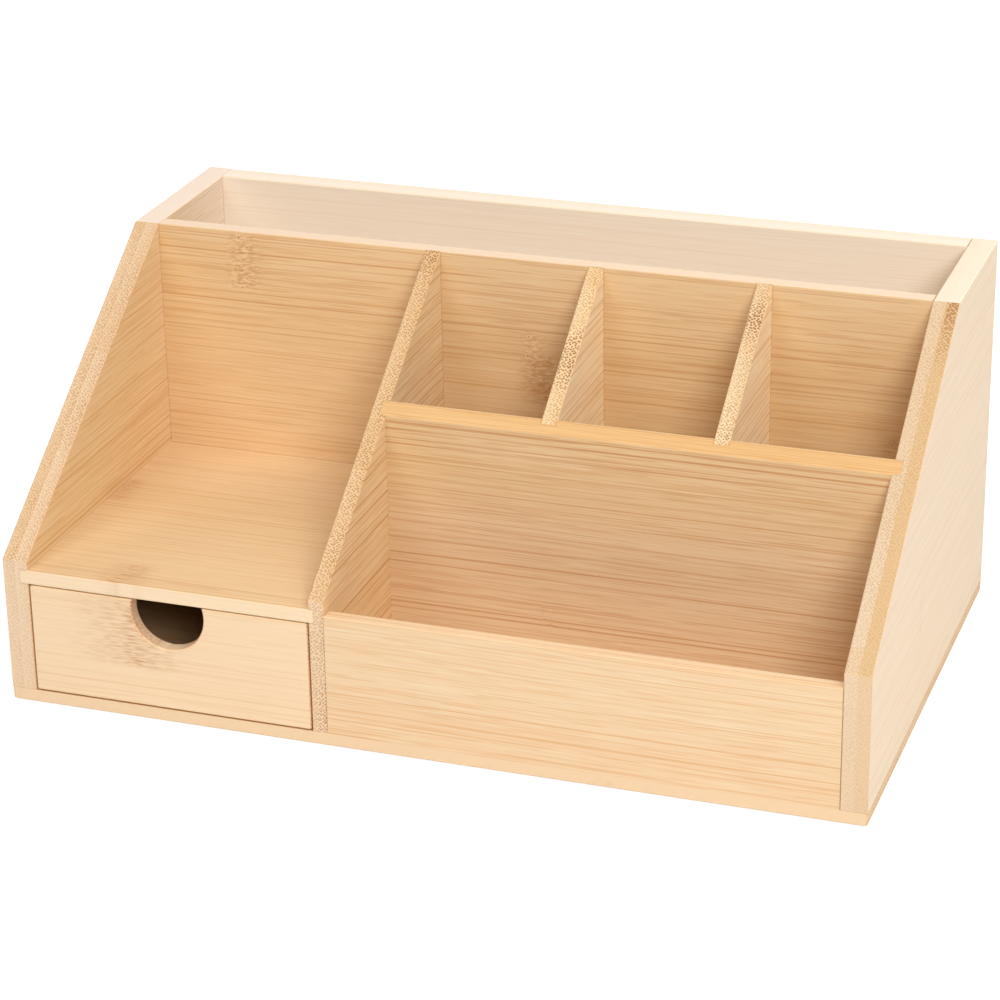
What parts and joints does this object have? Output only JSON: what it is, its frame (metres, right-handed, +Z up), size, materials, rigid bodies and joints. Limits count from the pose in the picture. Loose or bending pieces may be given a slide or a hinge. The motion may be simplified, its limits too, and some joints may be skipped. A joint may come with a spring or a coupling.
{
  "type": "desk organizer",
  "caption": "Low wooden desk organizer with sloped sides: an open bay over a drawer with a finger notch, a front tray, pen pockets and a deep rear trough.",
  "frame": {"origin": "middle of the underside of the base board", "axes": "+X to the right seen from the front, along the organizer's width; +Y from the front to the back; +Z up"},
  "size_m": [0.33, 0.203, 0.148],
  "materials": {
    "bamboo_ply": "two-ply laminated bamboo, sanded, clear satin lacquer",
    "bamboo_board": "single-ply laminated bamboo, sanded, clear satin lacquer",
    "bamboo_drawer": "single-ply laminated bamboo, sanded, clear satin lacquer",
    "bamboo_sheet": "thin bamboo plywood, sanded, clear satin lacquer",
    "brad_steel": "galvanised steel wire brads"
  },
  "bodies": {
    "carcass": {"base_board": "bamboo_ply", "left_side": "bamboo_ply", "right_side": "bamboo_ply", "back_panel": "bamboo_ply", "inner_back": "bamboo_board", "centre_divider": "bamboo_board", "bay_shelf": "bamboo_board", "tray_front": "bamboo_board", "pocket_wall": "bamboo_board", "pen_divider_left": "bamboo_board", "pen_divider_right": "bamboo_board", "base_brads": "brad_steel"},
    "drawer": {"drawer_front": "bamboo_drawer", "drawer_wall_left": "bamboo_drawer", "drawer_wall_right": "bamboo_drawer", "drawer_back": "bamboo_drawer", "drawer_bottom": "bamboo_sheet", "drawer_brads": "brad_steel"}
  },
  "joints": [
    {"name": "drawer_slide", "type": "slide", "parent": "carcass", "child": "drawer", "axis": [0, -1, 0], "range_m": [0, 0.1]}
  ]
}
